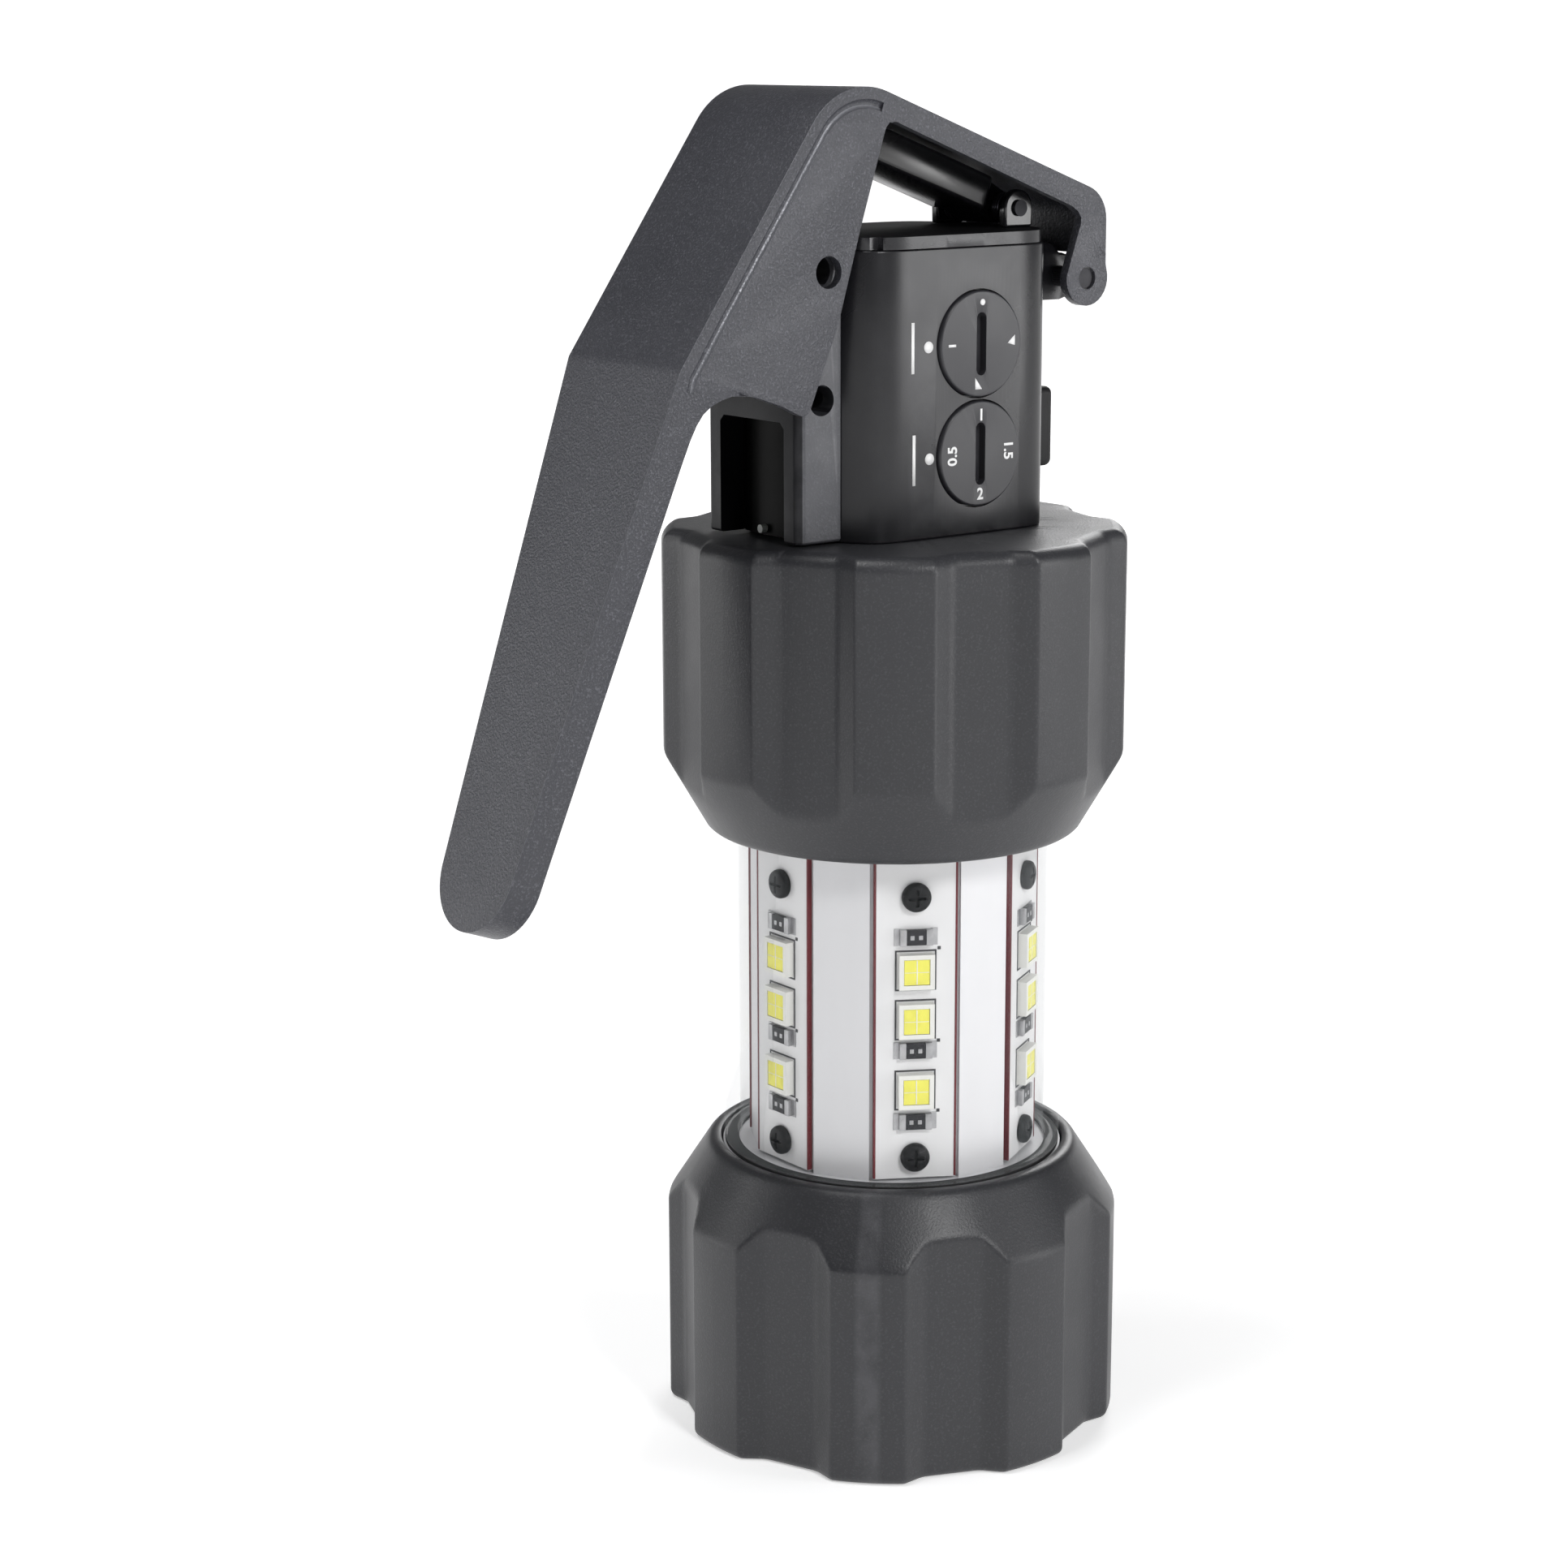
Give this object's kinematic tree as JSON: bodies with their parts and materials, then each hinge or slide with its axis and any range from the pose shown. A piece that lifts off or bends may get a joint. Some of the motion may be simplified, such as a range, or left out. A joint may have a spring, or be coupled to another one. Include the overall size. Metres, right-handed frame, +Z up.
{
  "type": "lever-release strobe light",
  "caption": "Handheld lever-release strobe light: fluted end bumpers, a clear tube over LED boards, a head with mode and delay dials, a side button and a hinged spoon lever",
  "frame": {"origin": "centre of the flat end of the tail cap, on the surface the light stands on", "axes": "+Z up along the tube, -X towards the lever's handle, +X towards the lever's hinge and the side button, -Y the flat with the two dials"},
  "size_m": [0.0744, 0.046, 0.1344],
  "materials": {
    "bumper_polymer": "fine matte, slightly rubbery",
    "contact_brass": "bright",
    "spring_steel": "bright wire",
    "seal_rubber": "matte",
    "core_metal": "clear anodised, silvery",
    "board_white": "white solder mask",
    "led_body": "satin white package",
    "led_phosphor": "yellow phosphor under clear resin",
    "resistor_ceramic": "dark chip, tinned ends",
    "screw_black": "black oxide",
    "lens_clear": "clear, polished",
    "cell_can": "film-wrapped can",
    "circuit_board": "green solder mask",
    "head_satin": "satin black",
    "pin_steel": "black oxide",
    "block_grey": "satin dark grey",
    "window_black": "gloss black",
    "indicator_lens": "pale clear lens",
    "dial_satin": "satin, printed white marks",
    "switch_body": "moulded",
    "button_black": "soft satin",
    "kicker_black": "gloss black",
    "lever_paint": "fine-grained powder coat"
  },
  "bodies": {
    "body_main": {"tail_oring": "seal_rubber", "core_tube": "core_metal", "led_board_1": "board_white", "led_board_2": "board_white", "led_board_3": "board_white", "led_board_4": "board_white", "led_board_5": "board_white", "led_board_6": "board_white", "led_packages": "led_body", "led_phosphors": "led_phosphor", "resistors": "resistor_ceramic", "board_screws": "screw_black", "lens_tube": "lens_clear", "lens_gaskets": "seal_rubber", "battery_cell": "cell_can", "cell_terminal": "spring_steel", "contact_plate": "circuit_board", "contact_stud": "contact_brass", "bumper_ring": "bumper_polymer", "head_housing": "head_satin", "head_lid": "head_satin", "kick_bracket": "head_satin", "kick_pin": "pin_steel", "kick_springs": "spring_steel", "hinge_pin": "pin_steel", "latch_block": "block_grey", "block_window": "window_black", "indicator_led": "indicator_lens", "dial_seals": "seal_rubber", "mode_switch": "switch_body", "delay_switch": "switch_body", "control_board": "circuit_board", "button_spring": "spring_steel", "button_switch": "switch_body"},
    "cap_carrier": {"tail_contact": "contact_brass", "tail_spring": "spring_steel"},
    "cap": {"tail_cap": "bumper_polymer"},
    "mode_knob": {"mode_dial": "dial_satin"},
    "delay_knob": {"delay_dial": "dial_satin"},
    "button": {"side_button": "button_black"},
    "kicker": {"kick_arm": "kicker_black"},
    "spoon": {"lever": "lever_paint"}
  },
  "joints": [
    {"name": "cap_advance", "type": "slide", "parent": "body_main", "child": "cap_carrier", "axis": [0, 0, -1], "range_m": [0, 0.0061]},
    {"name": "cap_turn", "type": "hinge", "parent": "cap_carrier", "child": "cap", "pos_m": [0, 0, 0.015], "axis": [0, 0, -1], "range_deg": [0, 720]},
    {"name": "mode_turn", "type": "hinge", "parent": "body_main", "child": "mode_knob", "pos_m": [0.00175, -0.0105, 0.1103], "axis": [0, -1, 0], "continuous": true},
    {"name": "delay_turn", "type": "hinge", "parent": "body_main", "child": "delay_knob", "pos_m": [0.00175, -0.0105, 0.0998], "axis": [0, -1, 0], "continuous": true},
    {"name": "button_press", "type": "slide", "parent": "body_main", "child": "button", "axis": [-1, 0, 0], "range_m": [0, 0.0008], "stiffness_N_per_m": 400, "deforming": ["button_spring"]},
    {"name": "lever_swing", "type": "hinge", "parent": "body_main", "child": "spoon", "pos_m": [0.017, 0, 0.1157], "axis": [0, 1, 0], "range_deg": [0, 105]},
    {"name": "kick_swing", "type": "hinge", "parent": "body_main", "child": "kicker", "pos_m": [0.011, 0, 0.12257], "axis": [0, 1, 0], "range_deg": [0, 48]}
  ],
  "couplings": [
    {"joint": "cap_advance", "follows": "cap_turn", "m_per_rad": 0.00047746},
    {"joint": "kick_swing", "follows": "lever_swing", "ratio": 0.45}
  ]
}
